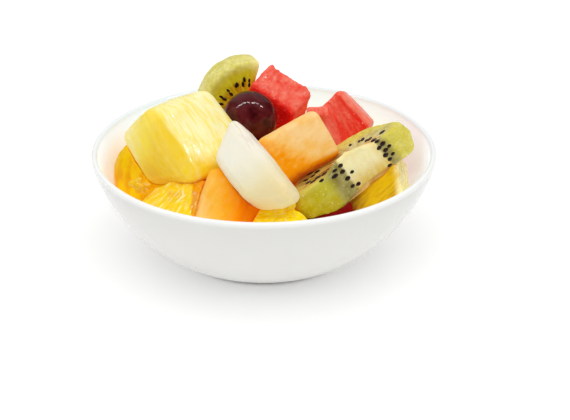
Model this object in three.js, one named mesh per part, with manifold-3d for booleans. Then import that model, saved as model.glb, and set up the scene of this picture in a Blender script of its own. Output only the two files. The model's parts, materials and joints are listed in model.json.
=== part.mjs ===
// A fruit salad heaped in a white porcelain bowl.
// Millimetres, +Z up. The origin is the middle of the bowl's foot, on the table.
// Each piece of fruit is shaped in its own frame, with its middle at the origin, and is then turned
// and placed in the heap. Pieces are listed from the top of the heap down: where two of them press
// together the lower one gives way, and everything stays inside the bowl's wall.

import * as THREE from 'three';
import { mergeVertices } from 'three/addons/utils/BufferGeometryUtils.js';
import Module from 'manifold-3d';

const wasm = await Module();
wasm.setup();

// ---- Driving dimensions -------------------------------------------------------------------------

const GAP = 0.3; // air left between two pieces that touch
const HIDDEN_GAP = 1.6; // air left round a piece by the hidden layers beneath it

const BOWL = {
  rimRadius: 75,
  height: 48.3,
  footRadius: 28,
  footWidth: 4,
  footRecess: 1.2,
  rimWall: 2.8,
  floorThickness: 5,
  sides: 40,
  wallSteps: 8,
};

// Knife-cut blocks. size: length, width and depth; round: radius of the softened edges; belly: how
// far the faces swell; taper: how much narrower the top is in x and y; lean: how far the top is
// shifted; wedge: how much longer the +y side is than the -y side; nose: how far the +x end is
// rounded out; cells: grid cells along an edge. turn: degrees about x, then y, then z.
const BLOCKS = [
  {
    name: 'honeydew_slice', fruit: 'honeydew', at: [-4.2, -45.7, 57.7], turn: [44, 16, -60],
    size: [37, 17.5, 16], round: 3.2, belly: 1, wedge: 0.28, nose: 4, cells: 6,
  },
  {
    name: 'pineapple_large', fruit: 'pineapple', at: [-33.8, -13.7, 57], turn: [40, 1, 47],
    size: [39, 32.2, 29], round: 4.5, belly: 2.5, taper: [0, -0.19], lean: [-1.6, -5], wedge: -0.05,
    cells: 6,
  },
  {
    name: 'cantaloupe_upper', fruit: 'cantaloupe', at: [13.4, -18.2, 54.1], turn: [52, -18, 27],
    size: [29.6, 22, 20], round: 2.8, belly: 2, cells: 5,
  },
  {
    name: 'watermelon_back', fruit: 'watermelon', at: [5.9, 23, 60.1], turn: [22, 24, -27],
    size: [23.5, 16.7, 20], round: 2, belly: 0.5, cells: 5,
  },
  {
    name: 'watermelon_right', fruit: 'watermelon', at: [35.1, 19, 52.3], turn: [59, 37, -30],
    size: [20.6, 19, 20], round: 2, belly: 0.5, cells: 5,
  },
  {
    name: 'watermelon_bit', fruit: 'watermelon', at: [23.2, 10.1, 59.6], turn: [37, 0, 3],
    size: [10.5, 6, 7], round: 2.5, belly: 0.5, cells: 3,
  },
  {
    name: 'cantaloupe_lower', fruit: 'cantaloupe', at: [-14, -49.5, 39.5], turn: [35, -1, -22],
    size: [21.7, 31, 22], round: 3, belly: 2.5, cells: 5,
  },
  {
    name: 'pineapple_right', fruit: 'pineapple', at: [46.3, -22.4, 38.5], turn: [58, -17, -11],
    size: [29, 22, 20], round: 2.5, belly: 1, cells: 5,
  },
  {
    name: 'orange_pulp', fruit: 'orange', at: [-50.9, -39, 47.8], turn: [46, 16, -18],
    size: [9.5, 6, 8], round: 3, belly: 0.5, cells: 3,
  },
  {
    name: 'pineapple_tip', fruit: 'pineapple', at: [11.6, -51.4, 45], turn: [36, 0, 18],
    size: [4.2, 4.4, 5.2], round: 2.1, belly: 0.5, cells: 3,
  },
  {
    name: 'pineapple_front', fruit: 'pineapple', at: [1.6, -52.3, 32], turn: [38, 3, -1],
    size: [34, 21, 17], round: 8, belly: 3.5, cells: 4,
  },
  {
    name: 'watermelon_front', fruit: 'watermelon', at: [26.2, -39, 24.5], turn: [42, -14, 3],
    size: [28, 20, 18], round: 2, belly: 0.5, cells: 4,
  },
  {
    name: 'pineapple_back', fruit: 'pineapple', at: [14, 47, 35], turn: [-25, 8, -12],
    size: [28, 24, 18], round: 3, belly: 1.5, taper: [0.1, 0], cells: 4,
  },
  {
    name: 'honeydew_back', fruit: 'honeydew', at: [-33, 37, 41], turn: [-22, -14, 42],
    size: [30, 20, 17], round: 3.5, belly: 1, wedge: 0.2, cells: 4,
  },
  {
    name: 'cantaloupe_left', fruit: 'cantaloupe', at: [-45, 18, 38], turn: [8, -20, 64],
    size: [25, 22, 20], round: 2.5, belly: 1, cells: 4,
  },
  {
    name: 'watermelon_side', fruit: 'watermelon', at: [46, 17, 35], turn: [-12, 20, 25],
    size: [22, 21, 19], round: 2, belly: 0.5, cells: 4,
  },
  {
    name: 'cantaloupe_side', fruit: 'cantaloupe', at: [43, -2, 33], turn: [12, 14, -18],
    size: [24, 22, 16], round: 2.5, belly: 1, cells: 4,
  },
];

// Orange segments without their skin: length, depth from the round back to the thin inner edge,
// and width across the back.
const SEGMENTS = [
  {
    name: 'orange_left', fruit: 'orange', at: [-49.6, -19, 41], turn: [49, -38, -5],
    size: [30, 38, 26],
  },
  {
    name: 'orange_front', fruit: 'orange', at: [-32, -48.6, 39.4], turn: [12, -8, -14],
    size: [43, 36, 28],
  },
  {
    name: 'orange_back', fruit: 'orange', at: [37, 38, 40], turn: [-20, 10, -40],
    size: [40, 24, 20],
  },
];

// Slices of kiwi cut in half, with the straight cut facing -y. radii: along and across that cut;
// core: how far the pale core's middle is from the slice's, and its half width; seedRing: the radii
// of the ring of seeds; seedArc: where the ring starts and ends, in degrees; rows: seeds across the
// straight cut on each side of the core; corner: how far the round edge is rounded off where it
// meets the straight cut; skin: how much the curved skin narrows the slice at its round face and at
// its underside; crest: the flesh that stands proud of the round face along the straight cut, as
// its middle, half width and height; underside: how much fuller the slice is below the cut, as rows
// of x and factor.
const KIWI_HALVES = [
  {
    name: 'kiwi_right', fruit: 'kiwi', at: [38.7, -32.6, 51.6], turn: [-15, -28, 23],
    radii: [29.4, 27.5], thickness: 13, core: [5.5, 10], seedRing: [17, 13], seedArc: [8, 176],
    seeds: 16, rows: 6, corner: 4, skin: [0.1, 0.075], crest: [0, 12, 3.2], seed: 5,
    underside: [[-24, 1], [-18, 1.38], [-12, 1.55], [-6, 1.2], [0, 1], [12, 1], [22, 1.18]],
  },
  {
    name: 'kiwi_back', fruit: 'kiwi', at: [-9.5, 28.0, 57.5], turn: [82, -75, 25],
    radii: [21.8, 21.2], thickness: 13, core: [0, 6], seedRing: [10.8, 10.8], seedArc: [6, 120],
    seeds: 12, rows: 0, corner: 1, skin: [0.05, 0.05], crest: [0, 1, 0], seed: 8,
    underside: [[0, 1]],
  },
];

const GRAPES = [
  { name: 'grape_front', fruit: 'grape', at: [-6, 2, 60.5], turn: [0, 0, 30], size: [24, 24, 25] },
  { name: 'grape_back', fruit: 'grape', at: [-10, 49, 46], turn: [30, 0, 60], size: [22, 22, 25] },
];

const KIWI_SEED = [2.4, 1.3, 1]; // length, width and height
const KIWI_RIM = 1.2; // radius of the softened rims
const CREST_REACH = 12; // how far from the straight cut the crest has sunk into the round face
const CREST_STEPS = 8; // edges along the straight cut of a slice that has a crest
const SEGMENT_THIN_EDGE = 0.3; // half width of an orange segment's inner edge, as part of its back's

// The layer under the heap's top pieces: blocks round a ring, and one in the middle.
const UNDER_LAYER = {
  ringRadius: 28,
  height: 31,
  size: [30, 26, 20],
  fruits: ['cantaloupe', 'honeydew', 'watermelon', 'pineapple', 'cantaloupe'],
};

// Below that the fruit is packed close and isn't seen: one body fills the bowl up to this dome.
const PACKED = { middleHeight: 20, edgeHeight: 18 };

const FINISH = {
  porcelain: { color: 0xf1efec, roughness: 0.12, metalness: 0 },
  pineapple: { color: 0xf4d34a, roughness: 0.35, metalness: 0 },
  kiwi: { color: 0xa9b82c, roughness: 0.3, metalness: 0 },
  grape: { color: 0x3c0a14, roughness: 0.12, metalness: 0 },
  watermelon: { color: 0xe8483c, roughness: 0.35, metalness: 0 },
  cantaloupe: { color: 0xf79a35, roughness: 0.35, metalness: 0 },
  honeydew: { color: 0xf0ecd2, roughness: 0.3, metalness: 0 },
  orange: { color: 0xf0a81e, roughness: 0.3, metalness: 0 },
  beneath: { color: 0xd88a24, roughness: 0.4, metalness: 0 },
};

// ---- Small helpers ------------------------------------------------------------------------------

const radians = THREE.MathUtils.degToRad;

// The same series of draws for the same seed, each from 0 to 1.
function dice(seed) {
  let state = (seed * 7919 + 12345) % 2147483647;
  return () => {
    state = (state * 16807) % 2147483647;
    return state / 2147483647;
  };
}

function toSolid(geometry) {
  const bare = geometry.clone();
  bare.deleteAttribute('normal');
  bare.deleteAttribute('uv');
  const merged = mergeVertices(bare, 1e-4);
  return new wasm.Manifold(new wasm.Mesh({
    numProp: 3,
    vertProperties: new Float32Array(merged.attributes.position.array),
    triVerts: new Uint32Array(merged.index.array),
  }));
}

function toGeometry(solid) {
  const mesh = solid.getMesh();
  const geometry = new THREE.BufferGeometry();
  geometry.setAttribute('position', new THREE.BufferAttribute(mesh.vertProperties, 3));
  geometry.setIndex(new THREE.BufferAttribute(mesh.triVerts, 1));
  geometry.computeVertexNormals();
  return geometry;
}

function largestBody(solid) {
  const bodies = solid.decompose();
  return bodies.reduce((best, body) => (body.volume() > best.volume() ? body : best));
}

function placement({ at, turn }) {
  const euler = new THREE.Euler(...turn.map(radians), 'ZYX');
  return new THREE.Matrix4().compose(
    new THREE.Vector3(...at),
    new THREE.Quaternion().setFromEuler(euler),
    new THREE.Vector3(1, 1, 1),
  );
}

// ---- The bowl -----------------------------------------------------------------------------------

// A wall that leaves the foot flat and curls up to the rim, as points of radius and height.
function wallCurve(footRadius, footHeight, rimRadius, rimHeight, steps) {
  const points = [];
  for (let i = 0; i <= steps; i += 1) {
    const t = (i / steps) * (Math.PI / 2);
    const radius = footRadius + (rimRadius - footRadius) * Math.sin(t) ** 1.07;
    const height = footHeight + (rimHeight - footHeight) * (1 - Math.cos(t) ** 1.48);
    points.push(new THREE.Vector2(radius, height));
  }
  return points;
}

function innerWall(inset, steps) {
  const lip = BOWL.rimWall / 2;
  return wallCurve(
    BOWL.footRadius - 2 - inset,
    BOWL.floorThickness + inset,
    BOWL.rimRadius - BOWL.rimWall - inset,
    BOWL.height - lip,
    steps,
  );
}

function bowlGeometry() {
  const lip = BOWL.rimWall / 2;
  const lipHeight = BOWL.height - lip;
  const outer = wallCurve(BOWL.footRadius, 0, BOWL.rimRadius, lipHeight, BOWL.wallSteps);
  const profile = [
    new THREE.Vector2(0, BOWL.footRecess),
    new THREE.Vector2(BOWL.footRadius - BOWL.footWidth - 1, BOWL.footRecess),
    new THREE.Vector2(BOWL.footRadius - BOWL.footWidth, 0),
    ...outer,
  ];
  for (const angle of [45, 90, 135]) {
    profile.push(new THREE.Vector2(
      BOWL.rimRadius - lip + lip * Math.cos(radians(angle)),
      lipHeight + lip * Math.sin(radians(angle)),
    ));
  }
  profile.push(...innerWall(0, BOWL.wallSteps).reverse());
  profile.push(new THREE.Vector2(0, BOWL.floorThickness));
  return new THREE.LatheGeometry(profile, BOWL.sides).rotateX(Math.PI / 2);
}

// The room inside the bowl, up to well above the heap. Its flat facets cut inside the round wall.
function roomInBowl() {
  const top = new THREE.Vector2(BOWL.rimRadius - BOWL.rimWall - GAP, BOWL.height * 2.5);
  const profile = [new THREE.Vector2(0, BOWL.floorThickness + GAP), ...innerWall(GAP, 5), top];
  profile.push(new THREE.Vector2(0, top.y));
  return toSolid(new THREE.LatheGeometry(profile, 24).rotateX(Math.PI / 2));
}

// ---- The fruit ----------------------------------------------------------------------------------

// A block with softened edges, whose faces swell and whose sides taper.
function blockGeometry({
  size, round, belly = 0, taper = [0, 0], lean = [0, 0], wedge = 0, nose = 0, cells,
}) {
  const box = new THREE.BoxGeometry(2, 2, 2, cells, cells, cells);
  const half = size.map((length) => length / 2);
  const soft = Math.min(round, ...half);
  const point = new THREE.Vector3();
  const core = new THREE.Vector3();
  const outward = new THREE.Vector3();
  const position = box.attributes.position;
  const inner = half.map((length) => length - soft);

  // Grid lines crowd towards the edges, where the surface bends.
  const spread = (value, axis) => {
    const bend = inner[axis] / half[axis];
    const step = Math.round(((value + 1) / 2) * cells);
    const fromEnd = Math.min(step, cells - step);
    const side = Math.sign(value) || 1;
    if (fromEnd === 0) return side * half[axis];
    if (fromEnd === 1) return side * (half[axis] - soft * 0.3);
    if (fromEnd === 2 && cells > 3) return side * half[axis] * bend;
    return value * half[axis] * bend;
  };

  for (let i = 0; i < position.count; i += 1) {
    point.set(
      spread(position.getX(i), 0),
      spread(position.getY(i), 1),
      spread(position.getZ(i), 2),
    );
    core.set(
      THREE.MathUtils.clamp(point.x, -inner[0], inner[0]),
      THREE.MathUtils.clamp(point.y, -inner[1], inner[1]),
      THREE.MathUtils.clamp(point.z, -inner[2], inner[2]),
    );
    outward.subVectors(point, core).normalize();
    point.copy(core).addScaledVector(outward, soft);
    const u = point.x / half[0];
    const v = point.y / half[1];
    const w = point.z / half[2];
    const swell = [
      u * Math.abs(u) * (1 - v * v) * (1 - w * w),
      v * Math.abs(v) * (1 - u * u) * (1 - w * w),
      w * Math.abs(w) * (1 - u * u) * (1 - v * v),
    ];
    const length = point.x + (u > 0 ? belly + nose : belly) * swell[0];
    position.setXYZ(
      i,
      length * (1 - taper[0] * w) * (1 + wedge * v) + lean[0] * w,
      (point.y + belly * swell[1]) * (1 - taper[1] * w) + lean[1] * w,
      point.z + belly * swell[2],
    );
  }
  return box;
}

// A seed half sunk in a cut face, long side along `along`, lying flat against `normal`.
function seedSolid(point, along, normal, gap) {
  const [length, width, height] = KIWI_SEED.map((side) => side + 4 * gap);
  const across = new THREE.Vector3().crossVectors(normal, along);
  const place = new THREE.Matrix4().makeBasis(along, across, normal).setPosition(point);
  const seed = new THREE.SphereGeometry(0.5, 6, 3).scale(length, width, height);
  return toSolid(seed.applyMatrix4(place));
}

// The value of a table's rows of place and value, straight between two rows.
function fromTable(rows, place) {
  const after = rows.findIndex(([at]) => at > place);
  if (after === -1) {
    return rows[rows.length - 1][1];
  }
  if (after === 0) {
    return rows[0][1];
  }
  const [lowAt, low] = rows[after - 1];
  const [highAt, high] = rows[after];
  return THREE.MathUtils.mapLinear(place, lowAt, highAt, low, high);
}

// How far the crest stands proud of the round face at a point of it.
function crestHeight([middle, halfWidth, height], x, y) {
  const fromMiddle = (x - middle) / halfWidth;
  const sunk = THREE.MathUtils.clamp(y / CREST_REACH, 0, 1);
  return height * Math.max(0, 1 - fromMiddle * fromMiddle) * (1 - sunk);
}

// Half of a kiwi slice, with softened rims, and its seeds on the round face and the straight cut.
function kiwiGeometry({
  radii, thickness, underside, core, seedRing, seedArc, seeds, rows, corner, skin, crest, seed,
  sides = 14, gap = 0,
}) {
  const [halfLength, reachBack] = radii.map((radius) => radius - KIWI_RIM);
  const turnIn = Math.asin(corner / reachBack);
  const roundEdge = new THREE.EllipseCurve(0, 0, halfLength, reachBack, turnIn, Math.PI - turnIn);
  const roundedEnd = (side) => new THREE.QuadraticBezierCurve(
    new THREE.Vector2(side * halfLength * Math.cos(turnIn), corner),
    new THREE.Vector2(side * halfLength, 0),
    new THREE.Vector2(side * (halfLength - corner), 0),
  ).getPoints(3);
  const straightCut = new THREE.LineCurve(
    new THREE.Vector2(corner - halfLength, 0),
    new THREE.Vector2(halfLength - corner, 0),
  );
  const [, , crestRise] = crest;
  const outline = new THREE.Shape([
    ...roundEdge.getPoints(Math.round(sides * 1.6)),
    ...roundedEnd(-1).slice(1),
    ...straightCut.getPoints(crestRise > 0 ? CREST_STEPS : 1).slice(1, -1),
    ...roundedEnd(1).reverse().slice(0, -1),
  ]);
  const flesh = new THREE.ExtrudeGeometry(outline, {
    depth: thickness - 2 * KIWI_RIM,
    steps: 2,
    bevelThickness: KIWI_RIM,
    bevelSize: KIWI_RIM,
    bevelSegments: 2,
  });
  flesh.translate(0, -gap, KIWI_RIM - thickness / 2);
  const position = flesh.attributes.position;
  for (let i = 0; i < position.count; i += 1) {
    const [x, y, z] = new THREE.Vector3().fromBufferAttribute(position, i);
    const along = x / radii[0];
    const nearCut = 1 - Math.max(0, y / radii[1]);
    const fuller = 1 + (fromTable(underside, x) - 1) * nearCut;
    const height = z < 0 ? z * fuller : z + crestHeight(crest, x, y);
    const towardSkin = Math.min(1, Math.hypot(along, y / radii[1]));
    const towardFace = (2 * z) / thickness;
    const narrower = 1 - (z < 0 ? skin[1] : skin[0]) * (towardSkin * towardFace) ** 2;
    position.setXYZ(i, x * narrower, y < 0 ? y : y * narrower, height);
  }

  const roll = dice(seed);
  let solid = toSolid(flesh);
  const faceUp = new THREE.Vector3(0, 0, 1);
  for (let i = 0; i < seeds; i += 1) {
    const angle = radians(THREE.MathUtils.lerp(...seedArc, (i + roll() * 0.6) / seeds));
    const reach = 0.88 + 0.3 * roll();
    const outward = new THREE.Vector3(seedRing[0] * Math.cos(angle), seedRing[1] * Math.sin(angle), 0);
    const point = outward.clone().multiplyScalar(reach);
    point.x += core[0];
    point.z = thickness / 2 + crestHeight(crest, point.x, point.y);
    solid = solid.add(seedSolid(point, outward.normalize(), faceUp, gap));
  }
  const cutFace = new THREE.Vector3(0, -1, 0);
  for (const side of [-1, 1]) {
    for (let row = 0; row < rows; row += 1) {
      const height = ((row + 0.5) / rows - 0.5) * (thickness - 3);
      const reach = core[1] + 0.8 + 2.6 * roll();
      const point = new THREE.Vector3(core[0] + side * reach, -KIWI_RIM - gap, height);
      solid = solid.add(seedSolid(point, new THREE.Vector3(side, 0, 0), cutFace, gap));
    }
  }
  return toGeometry(solid);
}

// A skinned orange segment: round along its back (+y) and thin along its inner edge (-y).
function segmentGeometry({ size, sides = 14 }) {
  const ball = new THREE.SphereGeometry(1, sides, Math.round(sides * 0.7)).rotateZ(Math.PI / 2);
  const half = size.map((length) => length / 2);
  const position = ball.attributes.position;
  for (let i = 0; i < position.count; i += 1) {
    const y = position.getY(i);
    const width = THREE.MathUtils.lerp(SEGMENT_THIN_EDGE, 1, (y + 1) / 2);
    position.setXYZ(i, position.getX(i) * half[0], y * half[1], position.getZ(i) * width * half[2]);
  }
  return ball;
}

function grapeGeometry({ size, sides = 16 }) {
  return new THREE.SphereGeometry(0.5, sides, sides * 0.75).scale(...size);
}

function underLayer() {
  const { ringRadius, height, size, fruits } = UNDER_LAYER;
  const roll = dice(3);
  const pieces = fruits.map((fruit, i) => {
    const angle = ((i + 0.4) / fruits.length) * 2 * Math.PI;
    return {
      name: `under_${i + 1}_${fruit}`,
      fruit,
      at: [ringRadius * Math.cos(angle), ringRadius * Math.sin(angle), height],
      turn: [20 * roll() - 10, 20 * roll() - 10, (angle * 180) / Math.PI + 90],
      size,
    };
  });
  pieces.push({
    name: 'under_middle_watermelon', fruit: 'watermelon', at: [0, 0, height + 5], turn: [0, 0, 20], size,
  });
  return pieces.map((piece) => ({ ...piece, round: 2.5, belly: 1, cells: 3, make: blockGeometry }));
}

function packedGeometry() {
  const { middleHeight, edgeHeight } = PACKED;
  const wall = innerWall(GAP, 5).filter((point) => point.y < edgeHeight);
  const edgeRadius = wall[wall.length - 1].x;
  const profile = [new THREE.Vector2(0, BOWL.floorThickness + GAP), ...wall];
  const rings = 3;
  for (let ring = rings - 1; ring >= 0; ring -= 1) {
    const part = ring / rings;
    const height = THREE.MathUtils.lerp(middleHeight, edgeHeight, part * part);
    profile.push(new THREE.Vector2(edgeRadius * part, height));
  }
  return new THREE.LatheGeometry(profile, 24).rotateX(Math.PI / 2);
}

// Every piece with the function that makes it, and what makes a plainer copy of it, with few faces.
const SHAPES = [
  ...BLOCKS.map((piece) => ({
    ...piece, make: blockGeometry, plain: { round: 0, belly: 0, cells: 1 },
  })),
  ...KIWI_HALVES.map((piece) => ({
    ...piece, make: kiwiGeometry, plain: { seeds: 0, rows: 0, sides: 10 },
  })),
  ...GRAPES.map((piece) => ({ ...piece, make: grapeGeometry, plain: { sides: 10 } })),
  ...SEGMENTS.map((piece) => ({ ...piece, make: segmentGeometry, plain: { sides: 10 } })),
].sort((one, other) => other.at[2] - one.at[2]);

const HIDDEN_SHAPES = [
  ...underLayer(),
  { name: 'packed_fruit', fruit: 'beneath', at: [0, 0, 0], turn: [0, 0, 0], make: packedGeometry },
];

// ---- Building the heap --------------------------------------------------------------------------

function addMesh(group, name, geometry, finish) {
  const mesh = new THREE.Mesh(geometry, new THREE.MeshStandardMaterial(FINISH[finish]));
  mesh.name = name;
  group.add(mesh);
  return mesh;
}

// A piece in its place, larger by the gap on every side.
function placedWithGap(piece, gap) {
  const geometry = piece.make({ ...piece, gap });
  geometry.computeBoundingBox();
  const size = geometry.boundingBox.getSize(new THREE.Vector3());
  const scale = size.toArray().map((length) => (length + 2 * gap) / length);
  return toSolid(geometry.scale(...scale).applyMatrix4(placement(piece)));
}

// Cuts a piece back from the bowl and from the pieces above it, and adds it to the salad.
function settle(piece, above) {
  const place = placement(piece);
  let solid = toSolid(piece.make(piece).applyMatrix4(place)).intersect(room);
  for (const other of above) {
    solid = solid.subtract(other);
  }
  const own = toGeometry(largestBody(solid)).applyMatrix4(place.clone().invert());
  const mesh = addMesh(salad, piece.name, own, piece.fruit);
  mesh.position.set(...piece.at);
  mesh.rotation.set(...piece.turn.map(radians), 'ZYX');
}

const salad = new THREE.Group();
addMesh(salad, 'bowl', bowlGeometry(), 'porcelain');

const room = roomInBowl();
const placed = [];
for (const shape of SHAPES) {
  settle(shape, placed);
  placed.push(placedWithGap(shape, GAP));
}

const placedPlain = SHAPES.map((shape) => (
  placedWithGap({ ...shape, ...shape.plain }, HIDDEN_GAP + (shape.belly || 0))
));
for (const shape of HIDDEN_SHAPES) {
  settle(shape, placedPlain);
  placedPlain.push(placedWithGap(shape, GAP));
}

export default salad;
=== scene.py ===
# %% [markdown]
# # A fruit salad in its white bowl
# The real thing is a porcelain bowl heaped with knife-cut fruit: pineapple, two kinds of melon,
# watermelon, kiwi slices, orange segments and grapes. The frame loaded here already holds every
# piece at its true size and place, as plain solids. This notebook gives each of them the surface of
# the real fruit: wet flesh, fibres, juice sacs, seeds and skin.

# %% The frame and the tools
import itertools
import json
import math

import bmesh
import bpy
import numpy as np
from mathutils import Euler, Matrix, Vector

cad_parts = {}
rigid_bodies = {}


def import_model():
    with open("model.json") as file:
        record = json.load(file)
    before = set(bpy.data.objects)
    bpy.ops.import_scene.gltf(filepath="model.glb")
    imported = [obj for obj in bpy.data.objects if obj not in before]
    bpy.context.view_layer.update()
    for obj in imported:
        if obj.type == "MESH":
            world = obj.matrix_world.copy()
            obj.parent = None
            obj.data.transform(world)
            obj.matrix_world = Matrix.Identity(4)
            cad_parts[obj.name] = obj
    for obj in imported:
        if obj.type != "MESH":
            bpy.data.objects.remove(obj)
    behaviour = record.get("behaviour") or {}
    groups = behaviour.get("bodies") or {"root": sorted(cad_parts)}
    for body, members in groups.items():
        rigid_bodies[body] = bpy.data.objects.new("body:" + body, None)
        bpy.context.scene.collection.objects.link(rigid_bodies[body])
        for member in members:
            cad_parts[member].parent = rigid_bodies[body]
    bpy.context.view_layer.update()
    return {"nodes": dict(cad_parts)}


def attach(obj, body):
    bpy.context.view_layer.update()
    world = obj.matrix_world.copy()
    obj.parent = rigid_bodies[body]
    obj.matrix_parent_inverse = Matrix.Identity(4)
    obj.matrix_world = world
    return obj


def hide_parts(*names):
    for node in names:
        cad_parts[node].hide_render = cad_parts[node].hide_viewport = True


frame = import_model()

MM = 0.001
scene = bpy.context.scene
scene.view_settings.view_transform = "Standard"

# %% [markdown]
# ## Where each piece lies
# A piece of fruit is easiest to finish in its own frame, where a fibre runs along one axis and a
# cut face is flat. So each one keeps the place and the turn that it has in the heap: millimetres,
# and degrees about x, then y, then z. The pieces of the hidden layer keep the bowl's own frame.

# %% Places and turns
PLACES = {
    "pineapple_large": ((-33.8, -13.7, 57), (40, 1, 47)),
    "pineapple_right": ((46.3, -22.4, 38.5), (58, -17, -11)),
    "pineapple_front": ((1.6, -52.3, 32), (38, 3, -1)),
    "pineapple_tip": ((11.6, -51.4, 45), (36, 0, 18)),
    "pineapple_back": ((14, 47, 35), (-25, 8, -12)),
    "honeydew_slice": ((-4.2, -45.7, 57.7), (44, 16, -60)),
    "honeydew_back": ((-33, 37, 41), (-22, -14, 42)),
    "cantaloupe_upper": ((13.4, -18.2, 54.1), (52, -18, 27)),
    "cantaloupe_lower": ((-14, -49.5, 39.5), (35, -1, -22)),
    "cantaloupe_left": ((-45, 18, 38), (8, -20, 64)),
    "cantaloupe_side": ((43, -2, 33), (12, 14, -18)),
    "watermelon_back": ((5.9, 23, 60.1), (22, 24, -27)),
    "watermelon_right": ((35.1, 19, 52.3), (59, 37, -30)),
    "watermelon_bit": ((23.2, 10.1, 59.6), (37, 0, 3)),
    "watermelon_front": ((26.2, -39, 24.5), (42, -14, 3)),
    "watermelon_side": ((46, 17, 35), (-12, 20, 25)),
    "kiwi_right": ((38.7, -32.6, 51.6), (-15, -28, 23)),
    "kiwi_back": ((-9.5, 28, 57.5), (82, -75, 25)),
    "grape_front": ((-6, 2, 60.5), (0, 0, 30)),
    "grape_back": ((-10, 49, 46), (30, 0, 60)),
    "orange_left": ((-49.6, -19, 41), (49, -38, -5)),
    "orange_front": ((-32, -48.6, 39.4), (12, -8, -14)),
    "orange_back": ((37, 38, 40), (-20, 10, -40)),
    "orange_pulp": ((-50.9, -39, 47.8), (46, 16, -18)),
}
BOWL_FRAME = ((0, 0, 0), (0, 0, 0))


def placement(name):
    """The matrix that carries a piece from its own frame into the heap."""
    at, turn = PLACES.get(name, BOWL_FRAME)
    tilt = Euler([math.radians(angle) for angle in turn], "XYZ").to_matrix().to_4x4()
    return Matrix.Translation(Vector(at) * MM) @ tilt


print(len(PLACES), "pieces have a frame of their own")

# %% [markdown]
# ## The camera
# The bowl is looked down on at about 26 degrees from 0.7 m away, with a long lens, so that the rim
# stays a calm ellipse. The camera aims a little right of the bowl's middle.

# %% Camera
VIEW_ELEVATION = math.radians(26.37)
VIEW_DISTANCE = 0.7
VIEW_TARGET = Vector((9.16, -2.24, 18.48)) * MM
LENS_MM, SENSOR_MM = 99.74, 36
VIEW_RIGHT = Vector((1, 0, 0))
VIEW_UP = Vector((0, math.sin(VIEW_ELEVATION), math.cos(VIEW_ELEVATION)))
VIEW_BACK = Vector((0, -math.cos(VIEW_ELEVATION), math.sin(VIEW_ELEVATION)))


def add(name, data):
    """A new object in the scene."""
    made = bpy.data.objects.new(name, data)
    scene.collection.objects.link(made)
    return made


lens = bpy.data.cameras.new("camera")
lens.lens, lens.sensor_width = LENS_MM, SENSOR_MM
lens.dof.use_dof = False
camera = add("camera", lens)
camera.location = VIEW_TARGET + VIEW_BACK * VIEW_DISTANCE
camera.rotation_euler = (-VIEW_BACK).to_track_quat("-Z", "Y").to_euler()
scene.camera = camera
print("camera at", [round(value, 3) for value in camera.location])

# %% [markdown]
# ## Light
# Cut fruit is lit in a white tent, with a large soft box above it. Both are left out of the
# reflections, or wet fruit would look milky. What it mirrors is a broad dim screen behind the bowl
# and a row of strips overhead, which make the arc of light on the grape and the juice's glints.

# %% Tent, soft box, screen and strips
TENT_COLOUR, TENT_STRENGTH = (1, 0.995, 0.985, 1), 0.48
SOFT_BOX = dict(azimuth=175, elevation=80, distance=1.5, size=(2, 2), watts=15)
SCREEN = dict(azimuth=0, elevation=42, distance=1.4, size=(2.4, 1.4), watts=4.5)
STRIP = dict(distance=1, size=(0.05, 0.19), watts=1.1)
STRIPS = [(-91, 44), (-88, 56), (-87, 69), (-82, 84), (88, 80), (84, 66), (88, 52)]

world = bpy.data.worlds.new("tent")
scene.world = world
world.use_nodes = True
tent = world.node_tree.nodes["Background"].inputs
tent["Color"].default_value, tent["Strength"].default_value = TENT_COLOUR, TENT_STRENGTH
world.cycles_visibility.glossy = False


def lamp(name, azimuth, elevation, distance, size, watts):
    """A flat lamp that looks at the bowl. Azimuth 0 is behind the bowl, 90 to its right."""
    round_by, up_by = math.radians(azimuth), math.radians(elevation)
    out = Vector((math.sin(round_by) * math.cos(up_by), math.cos(round_by) * math.cos(up_by),
                  math.sin(up_by)))
    light = bpy.data.lights.new(name, "AREA")
    light.shape = "RECTANGLE"
    light.size, light.size_y = size
    light.energy = watts
    holder = add(name, light)
    holder.location = out * distance
    holder.rotation_euler = out.to_track_quat("Z", "Y").to_euler()
    return holder


lamp("soft_box", **SOFT_BOX).visible_glossy = False
lamp("screen", **SCREEN).visible_diffuse = False
for number, (azimuth, elevation) in enumerate(STRIPS):
    lamp(f"strip_{number}", azimuth, elevation, **STRIP).visible_diffuse = False
print(len(STRIPS), "strips of", STRIP["watts"], "W")

# %% [markdown]
# ## Painting with sums
# A colour is worked out by small nodes: add, multiply, mix. Written as node calls they are hard to
# read, so a Wire wraps one socket and lets Python's own operators make the Math nodes.

# %% Colours and wires
def srgb(red, green, blue):
    """A colour given in display values from 0 to 255, as Blender's linear one."""
    linear = []
    for value in (red / 255, green / 255, blue / 255):
        linear.append(value / 12.92 if value < 0.04045 else ((value + 0.055) / 1.055) ** 2.4)
    return (*linear, 1)


def sums(operation, swapped=False):
    """A Python operator that adds one Math node."""
    def method(self, other):
        pair = {0: other, 1: self} if swapped else {0: self, 1: other}
        return self.paint.node("ShaderNodeMath", {"operation": operation}, pair)
    return method


class Wire:
    """One output socket of a paint. Arithmetic on it adds Math nodes."""

    def __init__(self, paint, socket):
        self.paint, self.socket = paint, socket

    __add__ = __radd__ = sums("ADD")
    __mul__ = __rmul__ = sums("MULTIPLY")
    __sub__, __rsub__ = sums("SUBTRACT"), sums("SUBTRACT", swapped=True)
    __pow__ = sums("POWER")

    def rise(self, low, high):
        """0 below low, 1 above high, and a soft rise between them."""
        return self.paint.node("ShaderNodeMapRange", {"interpolation_type": "SMOOTHSTEP"},
                               {"Value": self, "From Min": low, "From Max": high})


# %% [markdown]
# A Paint is one material. Its node method makes any node, and the others are short names for those
# used often. A spot can also be told as seen from the front, by how far right and up it lies.

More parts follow.
